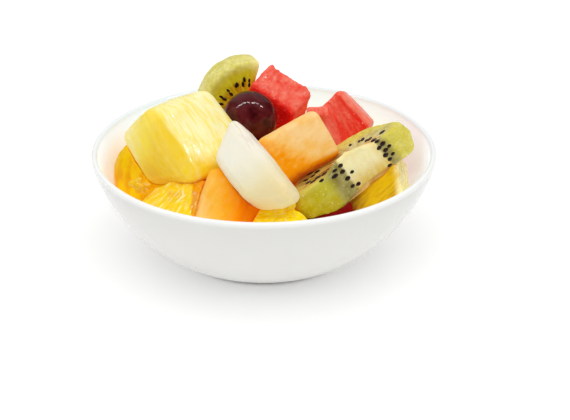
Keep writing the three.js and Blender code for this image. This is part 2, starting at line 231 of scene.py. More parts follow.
# %% Paints
JUICE_EDGE = (0.46, 0.62)
# RIM_LIGHT is the share of the painted glow (emission) that shows only at thin rims.
RIM_LIGHT = 0.75  # the share of the light in the flesh that shows only at thin rims


def seen(name, right, up):
    """A direction in the front view, right and up, as a vector in the piece's own frame."""
    turned = placement(name).to_3x3().inverted() @ (VIEW_RIGHT * right + VIEW_UP * up)
    return turned.normalized()


class Paint:
    """One material, painted in millimetres in the frame of a piece, or else in the bowl's."""

    def __init__(self, name, finish, piece=None):
        self.material = bpy.data.materials.new(name)
        self.material.use_nodes = True
        self.tree = self.material.node_tree
        self.shader = self.tree.nodes["Principled BSDF"]
        for socket, value in finish.items():
            self.shader.inputs[socket].default_value = value
        self.piece = piece
        at, turn = PLACES.get(piece, BOWL_FRAME)
        self.spot = self.node("ShaderNodeMapping", {"vector_type": "TEXTURE"}, {
            "Vector": self.node("ShaderNodeTexCoord", out="Object"),
            "Location": [value * MM for value in at],
            "Rotation": [math.radians(angle) for angle in turn],
            "Scale": (MM, MM, MM),
        })

    def node(self, kind, settings=None, sockets=None, out=0):
        """Makes a node: its settings first, then the values or wires of its sockets."""
        made = self.tree.nodes.new(kind)
        for setting, value in (settings or {}).items():
            if setting == "stops":
                ramp = made.color_ramp.elements
                while len(ramp) < len(value):
                    ramp.new(0.5)
                for element, (position, colour) in zip(ramp, value):
                    element.position = position
                    element.color = colour
            else:
                setattr(made, setting, value)
        for socket, value in (sockets or {}).items():
            if isinstance(value, Wire):
                self.tree.links.new(value.socket, made.inputs[socket])
            else:
                made.inputs[socket].default_value = value
        return Wire(self, made.outputs[out])

    def vector(self, operation, one, other=(0, 0, 0), out=0):
        """A Vector Math node. For SCALE the other value is its factor."""
        second = "Scale" if operation == "SCALE" else 1
        return self.node("ShaderNodeVectorMath", {"operation": operation},
                         {0: one, second: other}, out)

    def along(self, direction):
        """How far the spot lies along a direction, in millimetres."""
        return self.vector("DOT_PRODUCT", self.spot, list(direction), "Value")

    def towards(self, right, up):
        """How far the spot lies right and up as seen from the front, in millimetres."""
        return self.along(seen(self.piece, right, up))

    x, y, z = (property(lambda self, axis=axis: self.along(axis))
               for axis in ((1, 0, 0), (0, 1, 0), (0, 0, 1)))

    def noise(self, size, detail=2, seed=0, spot=None):
        """Cloudy noise from 0 to 1, with cells of size millimetres in x, y and z."""
        sides = size if isinstance(size, tuple) else (size, size, size)
        cells = self.vector("MULTIPLY", spot or self.spot, [1 / side for side in sides])
        return self.node("ShaderNodeTexNoise", {"noise_dimensions": "4D"},
                         {"Vector": cells, "W": seed, "Scale": 1, "Detail": detail})

    def fibres(self, width, length, way, seed=0, fan=0):
        """Noise drawn out into fibres along a direction. They draw together along it by fan."""
        run = self.along(way)
        drawn = self.vector("SCALE", list(way), run * (width / length - 1))
        spot = self.vector("SCALE", self.vector("ADD", self.spot, drawn), 1 + run * fan)
        return self.noise(width, 2, seed, spot)

    def mask(self, name):
        """A value that is stored at each vertex of the piece."""
        return self.node("ShaderNodeAttribute", {"attribute_name": name}, out="Fac")

    def mix(self, factor, one, other):
        """From one colour to the other. Each is a wire or a tuple of display values."""
        one, other = (srgb(*colour) if isinstance(colour, tuple) else colour
                      for colour in (one, other))
        return self.node("ShaderNodeMix", {"data_type": "RGBA"}, {0: factor, 6: one, 7: other}, 2)

    def layers(self, colour, *coats):
        """A first colour and coats over it, each a factor and its colour."""
        for factor, coat in coats:
            colour = self.mix(factor, colour, coat)
        return colour

    def ramp(self, place, stops, dark=1):
        """Runs through stops, each a place and a colour, all dimmed by dark."""
        shades = [(at, [part * dark for part in srgb(*colour)[:3]] + [1])
                  for at, colour in stops]
        return self.node("ShaderNodeValToRGB", {"stops": shades}, {0: place}, out="Color")

    def done(self, colour, height=None, depth=0.2, roughness=None, coat=None, glow=None):
        """Feeds the shader: its colour, a relief of depth millimetres, its roughness, where it is
        wet, and the colour of a painted glow, which stands in for light that comes through."""
        bump = self.node("ShaderNodeBump", None, {
            "Strength": 1, "Distance": depth * MM, "Height": height}) if height else None
        feeds = {"Base Color": colour, "Normal": bump, "Roughness": roughness,
                 "Coat Weight": coat, "Emission Color": glow}
        for socket, wire in feeds.items():
            if wire:
                self.tree.links.new(wire.socket, self.shader.inputs[socket])
        return self.material

    def wet_flesh(self, colour, height, depth, roughness, juice, size=2, seed=0):
        """Feeds cut flesh, with patches of juice, and a painted glow in its own colour, strongest at
        its thin rims, which stands in for light that comes through the flesh.
        """
        wet = self.noise(size, 2, seed + 11).rise(*JUICE_EDGE) * juice
        glow_level = self.mask("rim") * RIM_LIGHT + (1 - RIM_LIGHT)
        return self.done(colour, height, depth, roughness, wet, self.mix(glow_level, (0, 0, 0), colour))


def level(amount, spread=0.3, size=9):
    """A tone that drifts over the piece, from amount up to amount and spread."""
    return lambda paint: paint.noise(size) * spread + amount


ALONG_Y = (0, 1, 0)
# Every fruit paint has a faint painted glow (Emission Strength), which stands in for light scattered
# through wet flesh.
WET = {
    "Roughness": 0.4, "Coat Weight": 0, "Coat Roughness": 0.06, "IOR": 1.36,
    "Specular IOR Level": 0.06, "Subsurface Weight": 0.3, "Subsurface Radius": (1, 0.7, 0.3),
    "Subsurface Scale": 0.0015, "Emission Strength": 0.38,
}
print("wet flesh sets", len(WET), "fixed values")

# %% [markdown]
# ## From a plain solid to flesh
# The solids have few, flat faces. A knife cut through soft fruit has rounded rims and a fine skin
# of broken cells. So each vertex of a fine mesh is pushed along its normal by a relief, which is a
# sum of smooth noises. The same noise, drawn out along a direction, makes fibres.

# %% Relief
SWELL = 7  # the size of the slow waves that a knife leaves, in millimetres
EDGE_TILT = 0.29  # what the largest part of a normal lacks from 1 where two faces meet


def lattice_noise(points, seed=0):
    """Smooth noise from -1 to 1. Points are given in cells of the noise."""
    cell = np.floor(points).astype(np.int64)
    part = points - cell
    part = part * part * (3 - 2 * part)
    total = np.zeros(len(points))
    for corner in itertools.product((0, 1), repeat=3):
        key = cell + np.array(corner)
        mixed = key[:, 0] * 73856093 ^ key[:, 1] * 19349663 ^ key[:, 2] * 83492791 ^ (seed * 7919)
        mixed = (mixed ^ (mixed >> 13)) * 1274126177 & 0x7FFFFFFF
        value = ((mixed ^ (mixed >> 16)) & 0xFFFF) / 0xFFFF
        weight = np.prod(np.where(np.array(corner) == 1, part, 1 - part), axis=1)
        total += weight * value
    return total * 2 - 1


def drawn_out(points, width, length, way, fan=0):
    """Points in cells of a noise that is drawn out along a direction, as Paint.fibres does."""
    way = np.array(way)
    run = points @ way
    drawn = points + np.outer(run * (width / length - 1), way)
    return drawn * (1 + fan * run[:, None]) / width


def edge_share(normals):
    """0 on a piece's flat faces, up to 1 where two of them meet."""
    return np.clip((1 - np.abs(normals).max(axis=1)) / EDGE_TILT, 0, 1)


# %% [markdown]
# A voxel remesh gives a solid a fine even net of faces, and rounds of smoothing melt its rims. How
# far each vertex moved is kept on the mesh, because the paints give thin rims more painted glow, and
# on some fruit a paler or warmer painted rim light.

# %% Fine meshes
RIM_MELT = 0.4  # a vertex that melting moves this far lies on a rim


def from_net(name, net):
    """A new piece from a net of vertices and faces."""
    mesh = bpy.data.meshes.new(name)
    net.to_mesh(mesh)
    net.free()
    return add(name, mesh)


def surface(piece):
    """The vertices' positions in millimetres and their normals, as arrays."""
    mesh = piece.data
    places, normals = np.zeros((2, len(mesh.vertices) * 3), np.float32)
    mesh.vertices.foreach_get("co", places)
    mesh.vertex_normals.foreach_get("vector", normals)
    places /= MM
    return places.reshape(-1, 3).astype(float), normals.reshape(-1, 3).astype(float)


def write(piece, points):
    piece.data.vertices.foreach_set("co", (points * MM).astype(np.float32).ravel())
    piece.data.update()


def store(piece, name, values):
    """Keeps one value at each vertex, for the paint to read."""
    layer = piece.data.attributes.new(name, "FLOAT", "POINT")
    layer.data.foreach_set("value", values.astype(np.float32))


def change(piece, kind, **settings):
    """Runs one modifier on a piece and keeps what it makes as plain mesh."""
    modifier = piece.modifiers.new(kind, kind)
    for setting, value in settings.items():
        setattr(modifier, setting, value)
    shown = piece.evaluated_get(bpy.context.evaluated_depsgraph_get())
    mesh = bpy.data.meshes.new_from_object(shown)
    piece.modifiers.clear()
    old = piece.data
    piece.data = mesh
    bpy.data.meshes.remove(old)


def flesh(name, relief, *numbers, fine=0.6, soft=6, press=None):
    """A fine mesh of a solid, in its own frame, with its rims melted and a relief raised."""
    solid = frame["nodes"][name].data.copy()
    solid.transform(placement(name).inverted())
    net = bmesh.new()
    net.from_mesh(solid)
    bpy.data.meshes.remove(solid)
    bmesh.ops.remove_doubles(net, verts=net.verts, dist=1e-6)
    piece = from_net(f"{name}_flesh", net)
    change(piece, "REMESH", mode="VOXEL", voxel_size=fine * MM)
    if press:
        write(piece, press(surface(piece)[0]))
    sharp, _ = surface(piece)
    change(piece, "SMOOTH", iterations=soft)
    points, normals = surface(piece)
    store(piece, "rim", np.clip(((sharp - points) * normals).sum(axis=1) / RIM_MELT, 0, 1))
    write(piece, points + normals * relief(points, normals, *numbers)[:, None])
    return piece


def show(piece, name, material, whole=True):
    """Puts a piece into the salad. A whole one takes the place of its plain solid."""
    piece.data.materials.append(material)
    piece.data.shade_smooth()
    piece.data.transform(placement(name))
    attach(piece, "root")
    if whole:
        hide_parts(name)
    print(f"{piece.name}: {len(piece.data.polygons)} faces")


# %% [markdown]
# ## The bowl
# A porcelain bowl is jiggered: a profile is turned round an axis. So it is made here, from one
# profile with a foot ring, a wall that curls up from it, and a rolled lip.

# %% The bowl's shape
BOWL_SIDES, WALL_STEPS = 160, 48
RIM_RADIUS, BOWL_HEIGHT = 75, 48.3
FOOT_RADIUS, FOOT_WIDTH, FOOT_RECESS = 28, 4, 1.2
RIM_WALL, FLOOR_THICK = 2.8, 5
WALL_BELLY, WALL_CURL = 1.07, 1.48  # how it widens from the foot and how late it turns up
# The lip's painted glow starts this far below the rim and fades in over this height, in millimetres.
LIP_GLOW_DEPTH, LIP_GLOW_FADE = 2.4, 2


def wall_curve(foot_radius, foot_height, rim_radius, rim_height):
    """A wall that leaves the foot flat and curls up to the rim, as radius and height."""
    turn = np.linspace(0, math.pi / 2, WALL_STEPS)
    radius = foot_radius + (rim_radius - foot_radius) * np.sin(turn) ** WALL_BELLY
    rise = 1 - np.clip(np.cos(turn), 0, 1) ** WALL_CURL
    return list(zip(radius, foot_height + (rim_height - foot_height) * rise))


def bowl_profile():
    """The turned outline, as radius and height, from the foot's middle to the inner floor."""
    lip = RIM_WALL / 2
    lip_height = BOWL_HEIGHT - lip
    ring = FOOT_RADIUS - FOOT_WIDTH
    points = [(0, FOOT_RECESS), (ring - 6, FOOT_RECESS), (ring - 1, FOOT_RECESS)]
    points += [(ring - 0.6, 0.4), (ring, 0), (FOOT_RADIUS - 0.8, 0)]
    points += wall_curve(FOOT_RADIUS, 0, RIM_RADIUS, lip_height)[1:]
    for angle in np.radians(range(15, 180, 15)):
        points.append((RIM_RADIUS - lip + lip * math.cos(angle),
                       lip_height + lip * math.sin(angle)))
    points += wall_curve(FOOT_RADIUS - 2, FLOOR_THICK, RIM_RADIUS - RIM_WALL, lip_height)[::-1]
    return points + [(FOOT_RADIUS * share, FLOOR_THICK) for share in (0.6, 0.3, 0)]


def turned(profile, sides):
    """A closed net turned round the z axis from a profile that starts and ends on it."""
    net = bmesh.new()
    angles = [2 * math.pi * side / sides for side in range(sides)]
    rings = []
    for radius, height in profile:
        if radius == 0:
            rings.append([net.verts.new((0, 0, height * MM))] * sides)
            continue
        rings.append([
            net.verts.new((radius * math.cos(a) * MM, radius * math.sin(a) * MM, height * MM))
            for a in angles
        ])
    for low, high in zip(rings, rings[1:]):
        for side in range(sides):
            after = (side + 1) % sides
            corners = [low[side], low[after], high[after], high[side]]
            net.faces.new(list(dict.fromkeys(corners)))
    bmesh.ops.recalc_face_normals(net, faces=net.faces)
    return net


bowl = from_net("porcelain_bowl", turned(bowl_profile(), BOWL_SIDES))
points, normals = surface(bowl)
inward = -(points * normals)[:, :2].sum(axis=1) / (np.linalg.norm(points[:, :2], axis=1) + 1)
store(bowl, "inside", np.clip(inward * 5, 0, 1) * (points[:, 2] > FLOOR_THICK - 1))
store(bowl, "lip", np.clip((points[:, 2] - BOWL_HEIGHT + LIP_GLOW_DEPTH) / LIP_GLOW_FADE, 0, 1))
print("the bowl's profile has", len(bowl_profile()), "points")

# %% [markdown]
# The glaze is white, a touch warm, and waves by a few hundredths of a millimetre. The foot ring is
# bare. The inside of the wall and the lip have a painted glow, which stands in for the light that
# thin porcelain lets through. Low down it is tinted by painted reflections of the fruit that lies
# against it, and the inside is painted a cooler white than the outside, which offsets the warm light
# from the fruit.

# %% Porcelain glaze
def porcelain():
    paint = Paint("porcelain_glaze", {
        "Coat Weight": 0.35, "Coat Roughness": 0.03, "IOR": 1.5, "Specular IOR Level": 0.2,
        "Subsurface Weight": 0.1, "Subsurface Radius": (1, 0.9, 0.8), "Subsurface Scale": 0.002,
        "Emission Strength": 0.5,
    })
    cloud = paint.noise(26, 3)
    bare = 1 - paint.z.rise(0.15, 0.5)
    inside = paint.mask("inside")
    outer = paint.mix(cloud, (230, 230, 227), (236, 236, 233))
    # The inside is painted a cooler white than the outside, to offset the warm light that the fruit
    # throws on it.
    colour = paint.layers(outer, (inside, (220, 231, 236)), (bare, (214, 206, 194)))
    ripple = paint.noise(14, 1, 2) + paint.noise(1.2, 2) * 0.02
    # Low on the inner wall the glow is tinted amber at the left and grey-green at the right: painted
    # reflections of the fruit against it.
    low = 1 - paint.z.rise(35, 47)
    left = paint.along((-1, -0.3, 0)).rise(46, 62) * low * 0.9
    right = paint.along((1, -0.2, 0)).rise(48, 60) * low * 0.7
    through = paint.layers((218, 236, 248), (left, (206, 164, 78)), (right, (140, 165, 160)))
    # The glow inside the bowl and on its lip is painted light; on the lip it keeps the rim bright.
    glow = paint.layers((0, 0, 0), (inside, through), (paint.mask("lip"), (186, 190, 192)))
    return paint.done(colour, ripple, 0.05, 0.16 + bare * 0.5 + cloud * 0.04, glow=glow)


show(bowl, "bowl", porcelain())

# %% [markdown]
# ## Pineapple
# Cut pineapple shows bundles of fine pale fibres in clear yellow flesh. They run out from the core,
# so on a block they all run much the same way and fan a little. They are raised a tenth of a
# millimetre or two, and the paint has the same stretched noise in pale and deep yellow.

# %% Pineapple flesh
FIBRE_DEPTH = 0.12


def fibre_relief(points, normals, way, seed, fan=0):
    """Ridges along one direction that fan apart, over a slow swell."""
    fibres = lattice_noise(drawn_out(points, 1.4, 16, way, fan), seed)
    bundles = lattice_noise(drawn_out(points, 3.2, 22, way, fan), seed + 1)
    ridges = FIBRE_DEPTH * (fibres + bundles) * (1 - edge_share(normals) * 0.6)
    return ridges + 0.25 * lattice_noise(points / SWELL, seed + 5)


def pineapple_paint(name, way, colours, tone, paleness, seed=0, fan=0, glow_level=0.38, juice=0.25):
    """colours: of pale fibre, clear and deep flesh. tone gives the wire from 0, clear, to 1, deep,
    and paleness the share of fibre, which on the front piece is painted glints. glow_level: the
    strength of its painted glow, which stands in for light that comes through it. juice: how wet it
    is."""
    pale, clear, deep = colours
    paint = Paint(f"{name}_paint", WET | {"Emission Strength": glow_level}, name)
    fibres = paint.fibres(1, 16, way, seed, fan)
    bundles = paint.fibres(3.2, 24, way, seed + 3, fan)
    patches = paint.noise(7, 2, seed + 7)
    depth = (tone(paint) + (bundles - 0.5) * 0.6 + (patches - 0.5) * 0.3).rise(0, 1)
    share = (fibres * 0.45 + bundles * 0.35 + patches * 0.2).rise(0.36, 0.62) * 0.75 + 0.25
    colour = paint.layers(clear, (depth, deep), (share * paleness(paint), pale))
    return paint.wet_flesh(colour, fibres + bundles, 0.12, 0.36 + fibres * 0.2, juice, seed=seed)


# %% [markdown]
# The large block shows two faces. The left one is deeper and clearer, but for a pale flap at its
# outer edge. The right one is pale and clears up towards its foot. One measure across the block
# tells the two apart.

# %% The large block
LEFT_FACE = -15
LARGE_FAN = 0.012
LARGE_COLOURS = ((255, 246, 196), (249, 226, 70), (238, 200, 0))


def large_left(paint):
    """1 on the left face and 0 on the right one."""
    return 1 - paint.x.rise(LEFT_FACE - 2.5, LEFT_FACE + 1.5)


def large_tone(paint):
    left = large_left(paint)
    left_deep = paint.towards(1, -0.3).rise(-17, -6)
    right_low = paint.towards(0.25, -1).rise(2, 15)
    right_side = 1 - paint.x.rise(-15, -8)
    return left * (0.35 + 0.6 * left_deep) + (1 - left) * (right_low + right_side * 0.2 - 0.12)


def large_paleness(paint):
    left = large_left(paint)
    flap = paint.towards(-1, 0).rise(16, 22)
    low = paint.towards(0.1, -1).rise(4, 14)
    return (1 - left * 0.85 * (1 - flap * 0.7)) * (1 - low * (1 - left) * 0.95)


piece = flesh("pineapple_large", fibre_relief, ALONG_Y, 3, LARGE_FAN, soft=8)
paint = pineapple_paint("pineapple_large", ALONG_Y, LARGE_COLOURS, large_tone, large_paleness,
                        fan=LARGE_FAN, glow_level=0.5)
show(piece, "pineapple_large", paint)

# %% [markdown]
# The smaller pieces share one table: the way of their fibres as seen from the front, their three
# colours, how deep and how pale they are, the strength of their painted glow, and how wet they are.
# The block at the right is a deeper amber towards its lower left side and has a dry pale strip along
# its outer edge. On the front piece the pale grains are painted glints.

# %% The other pineapple pieces
def right_block_paleness(paint):
    return 0.03 + paint.towards(1, 0.1).rise(8, 11) * 0.97


def right_block_tone(paint):
    amber = 1 - paint.towards(1, 0.35).rise(-16, -2) * 0.8
    streaks = paint.fibres(1, 14, seen("pineapple_right", 0.75, 0.66), 5) - 0.5
    return amber + streaks * (1 - right_block_paleness(paint)) * 1.2


# The pale grains on the front piece are painted glints.
def painted_glint_grain(paint):
    return paint.noise(1.3, seed=3).rise(0.5, 0.68) * 0.55


PINEAPPLES = {
    "pineapple_right": ((0.75, 0.66), ((255, 240, 182), (240, 194, 0), (158, 82, 0)),
                        right_block_tone, right_block_paleness, 0.38, 0.7),
    "pineapple_front": ((0.2, 1), ((255, 246, 170), (255, 226, 4), (242, 190, 0)),
                        level(-0.35, 1.4, 1.6), painted_glint_grain, 0.7, 1),
    "pineapple_tip": ((0.3, 1), ((250, 230, 120), (226, 192, 24), (200, 160, 6)),
                      level(0.3), level(0.1), 0.45, 1),
    "pineapple_back": ((1, 0.2), ((255, 240, 176), (250, 222, 92), (236, 186, 8)),
                       level(0.2), level(0.3), 0.38, 0.25),
}
for name, (way, colours, tone, paleness, glow_level, juice) in PINEAPPLES.items():
    way, seed = seen(name, *way), len(name)
    paint = pineapple_paint(name, way, colours, tone, paleness, seed, 0, glow_level, juice)
    show(flesh(name, fibre_relief, way, seed, soft=8), name, paint)

# %% [markdown]
# ## Melons
# Cantaloupe and honeydew are smooth where the knife went, so their colour does the work. It deepens
# towards the rind and pales towards the seeds, and each block gets one slow gradient from pale to
# deep, in a direction given per block. On the two cantaloupe blocks in front the gradient also
# paints light and shade.

# %% Melon flesh
def melon_relief(points, normals, seed, depth=0.05, swell=0.25):
    """A fine grain over a slow swell, as a knife leaves on soft melon."""
    grain = lattice_noise(points / 1.1, seed)
    return depth * grain + swell * lattice_noise(points / SWELL, seed + 3)


def torn_strip(paint, colour, clouds, seed):
    """A warm painted rim light along thin rims, and the pale torn fibres left where a honeydew's
    seeds were.
    """
    fibres = paint.fibres(0.8, 9, (1, 0, 0), seed + 6).rise(0.4, 0.55)
    torn = (paint.y + clouds * 3).rise(5.8, 7.2)
    upper = 1 - paint.x.rise(-8, 6)
    streaks = paint.mix(fibres + (1 - upper), (224, 206, 194), (255, 244, 224))
    return paint.layers(colour, (paint.mask("rim") * 0.7, (244, 210, 130)),
                        (torn * (upper * 0.35 + 0.15), streaks))


def melon_paint(name, stops, tone, seed=0, cloud=0.5, streak=0.2, way=ALONG_Y, seedy=False):
    """tone gives the wire from 0 to 1 that runs through the colour stops."""
    paint = Paint(f"{name}_paint", WET | {"Coat Roughness": 0.3}, name)
    clouds = paint.noise(6, 3, seed) - 0.5
    wisps = paint.fibres(1.8, 7, way, seed + 4) - 0.5
    fine = paint.noise(0.9, 2, seed + 8) - 0.5
    place = tone(paint) + clouds * cloud + wisps * streak + fine * streak * 0.5
    colour = paint.ramp(place, stops)
    if seedy:
        colour = torn_strip(paint, colour, clouds, seed)
    return paint.wet_flesh(colour, wisps + fine * 0.5, 0.1, 0.4 + fine * 0.2, 0.12, 4, seed)


# The last, brownish stop is reached mostly by the painted shade on the upper cantaloupe's underside.
ORANGE_STOPS = [(0, (253, 212, 150)), (0.3, (251, 194, 100)), (0.6, (248, 158, 8)),
                (0.8, (240, 138, 0)), (1, (206, 92, 30))]
LOWER_STOPS = [(0, (252, 204, 122)), (0.3, (250, 182, 54)), (0.5, (248, 162, 0)),
               (0.75, (246, 138, 0)), (1, (238, 104, 6))]
CREAM_STOPS = [(0, (244, 240, 224)), (0.3, (238, 232, 204)), (0.65, (236, 223, 178)),
               (1, (238, 219, 164))]


# The upper block is lighter at the top and deeper lower down, a painted light on its rounded face,
# and a painted shade darkens its underside.
def upper_tone(paint):
    down = paint.towards(-0.3, -0.95)
    shading_slope = down.rise(-10, 2) * 0.2 + down.rise(-3, 6) * 0.36 + 0.1
    underside_shade = 1 - paint.y.rise(-10.8, -8.2)
    return shading_slope * (1 - underside_shade) + underside_shade * 0.95


# The lower block is paler towards the left, partly a painted highlight, and deeper towards the
# right.
def lower_tone(paint):
    across = paint.towards(1, 0.1)
    return across.rise(-11, -6) * 0.16 + across.rise(-6, 1) * 0.24 + across.rise(0, 8) * 0.36 + 0.1


def cream_tone(paint):
    side = 1 - paint.y.rise(-8, -4)
    return paint.towards(0.6, -0.8).rise(-10, 18) + side * 0.12


def middle_tone(paint):
    return paint.along((0, 0, -1)).rise(-9, 9) * 0.6 + 0.1


MELONS = {  # colour stops, tone, strength of clouds and wisps, way of the wisps
    "cantaloupe_upper": (ORANGE_STOPS, upper_tone, 0.6, 0.45, (0.7, 0.7)),
    "cantaloupe_lower": (LOWER_STOPS, lower_tone, 0.3, 0.2, (0.3, 1)),
    "cantaloupe_left": (ORANGE_STOPS, middle_tone, 0.5, 0.2, (0.3, 1)),
    "cantaloupe_side": (ORANGE_STOPS, middle_tone, 0.5, 0.2, (0.3, 1)),
    "honeydew_slice": (CREAM_STOPS, cream_tone, 0.3, 0.1, (0.7, -0.7)),
    "honeydew_back": (CREAM_STOPS, middle_tone, 0.4, 0.1, (0.7, -0.7)),
}
for number, (name, (stops, tone, cloud, streak, way)) in enumerate(MELONS.items()):
    fruit = name.split("_")[0]
    paint = melon_paint(name, stops, tone, number * 3, cloud, streak, seen(name, *way),
                        seedy=fruit == "honeydew")
    show(flesh(name, melon_relief, 20 + number), name, paint)

# %% [markdown]
# ## Watermelon
# Watermelon breaks as much as it cuts. Its flesh is a foam of large cells, so the faces carry pale
# specks and the rims crumble. The colour goes from dry coral on top to deep red where juice has
# soaked it, a change that is partly painted shade, and the thin rims get a pale painted highlight.

# %% Watermelon
WATERMELON_STOPS = [(0, (244, 130, 108)), (0.5, (236, 70, 52)), (1, (232, 14, 12))]


def crumb_relief(points, normals, seed, crumble):
    """Large broken cells, deepest along the rims."""
    rim = edge_share(normals)
    cells = lattice_noise(points / 1.1, seed)
    lumps = lattice_noise(points / 2.6, seed + 2)
    slow = lattice_noise(points / SWELL, seed + 9)
    return 0.12 * cells + 0.1 * lumps + crumble * rim * (lumps + 0.4 * cells) + 0.25 * slow


def watermelon_paint(name, tone, streak=(2.6, 4, ALONG_Y), seed=0, dark=1):
    """streak: the width, the length and the way of its fibres; dark: how much light reaches it."""
    finish = WET | {"Subsurface Radius": (1, 0.25, 0.2), "Emission Strength": 0.54}
    paint = Paint(f"{name}_paint", finish, name)
    cells = paint.noise(1.5, 2, seed)
    streaks = paint.fibres(*streak, seed + 2)
    specks = paint.noise(0.8, 1, seed + 5).rise(0.62, 0.8)
    place = tone(paint) + (streaks - 0.5) * 1.1 + (cells - 0.5) * 0.4
    dim = dark * dark
    # The pale coral along thin rims is a painted highlight. dark dims the colours, a painted shade
    # for pieces that lie in shadow.
    colour = paint.layers(paint.ramp(place, WATERMELON_STOPS, dark),
                          (paint.mask("rim") * (0.45 * dim), (250, 150, 124)),
                          (specks * (0.5 * dim), (255, 196, 184)))
    return paint.wet_flesh(colour, cells, 0.3, 0.36 + cells * 0.25, 0.35 * dark, seed=seed)


# The face towards -y is deep red: partly juice, partly painted shade on the lower face.
def back_tone(paint):
    return paint.along((0, -1, 0)).rise(5, 8.6) * 0.8 + 0.28


def right_tone(paint):
    low = paint.towards(0.35, -1).rise(-8, 12) * 0.35
    across = paint.towards(0.75, 0.65)
    # A painted glare makes the lower left of this piece paler.
    edge = paint.towards(-0.85, -0.5).rise(3.5, 8)
    from_line = across - 4.6
    line = (1 - from_line * from_line).rise(0, 1)
    return (low + 0.26) * (1 - across.rise(5, 7) * 0.95) * (1 - edge * 0.9) + line * 0.3


RIGHT_WAY = seen("watermelon_right", 0.5, -0.86)
WATERMELONS = {  # tone, streaks, light, crumble of the rims, share of the solid's size
    "watermelon_back": (back_tone, (2.6, 4, ALONG_Y), 1, 0.85, 1),
    "watermelon_right": (right_tone, (1.3, 9, RIGHT_WAY), 1, 0.85, 1),
    "watermelon_bit": (level(0, 0.4, 2), (1.5, 3, ALONG_Y), 1, 0.25, 1),
    "watermelon_front": (level(0.9, 0.4, 4), (3, 5, ALONG_Y), 0.25, 0.85, 1),
    "watermelon_side": (level(0.2, 0.5, 8), (2.6, 4, ALONG_Y), 1, 0.85, 0.9),
}
for number, (name, (tone, streak, dark, crumble, share)) in enumerate(WATERMELONS.items()):
    piece = flesh(name, crumb_relief, 30 + number, crumble, fine=0.5, soft=5,
                  press=lambda points: points * share)
    show(piece, name, watermelon_paint(name, tone, streak, number * 2, dark))

# %% [markdown]
# ## Kiwi
# A kiwi slice has a cream core, then a ring of black seeds in grey-green rays, then clear green
# flesh. Cut in half, the straight cut shows the same rings as bands. On the round face it is enough
# to know how far a spot lies from the core's middle, and on the straight cut how far along it.

# %% The shape of kiwi flesh
KIWI_CUT, KIWI_HALF_THICK = -1.2, 6.5
CREST_HALF, CREST_HEIGHT, CREST_REACH = 12, 3.2, 12


def crest(points):
    """How far the flesh at the straight cut stands proud of the round face."""
    across = points[:, 0] / CREST_HALF
    sunk = np.clip(points[:, 1] / CREST_REACH, 0, 1)
    return CREST_HEIGHT * np.clip(1 - across * across, 0, None) * (1 - sunk)


def press_seeds(proud):
    """The solid's fused seeds are pressed flat: real ones take their place. proud is 1 for a
    slice with a crest, and 0 for a flat one."""
    def pressed(points):
        points = points.copy()
        points[:, 2] = np.minimum(points[:, 2], KIWI_HALF_THICK + proud * crest(points))
        points[:, 1] = np.maximum(points[:, 1], KIWI_CUT)
        return points
    return pressed


def kiwi_relief(points, normals, core, seed):
    """Rays that run out from the core, on a slow swell."""
    out = points[:, :2] - np.array(core)
    reach = np.linalg.norm(out, axis=1) + 1e-6
    rays = np.column_stack([out / reach[:, None] * 7, points[:, 2] / 6])
    slow = lattice_noise(points / 4.5, seed)
    lumps = lattice_noise(points / 2.2, seed + 2)
    rays = 0.12 * lattice_noise(rays, seed + 1) * np.clip(reach / 9, 0, 1)
    return rays + 0.3 * slow + 0.1 * lumps


print("kiwi slices are", KIWI_HALF_THICK * 2, "mm thick, with a crest of", CREST_HEIGHT, "mm")

# %% [markdown]
# The colours of kiwi are layers: cream, smoky grey round the seeds, olive and lime near the skin.
# Each has its own band, and noise makes its edges ragged.

# %% The colours of kiwi flesh
KIWI_WET = WET | {"Subsurface Radius": (0.8, 1, 0.25), "Emission Strength": 0.56}


def rays_of(paint, core, lean=1):
    """How far the spot is from the core, and streaks that run out from it."""
    x, y = (paint.x - core[0]) * lean, paint.y - core[1]
    reach = (x * x + y * y) ** 0.5
    out = paint.node("ShaderNodeCombineXYZ", None, {"X": x, "Y": y, "Z": 0})
    return reach, paint.noise(1 / 9, 3, reach * 0.06, paint.vector("NORMALIZE", out))


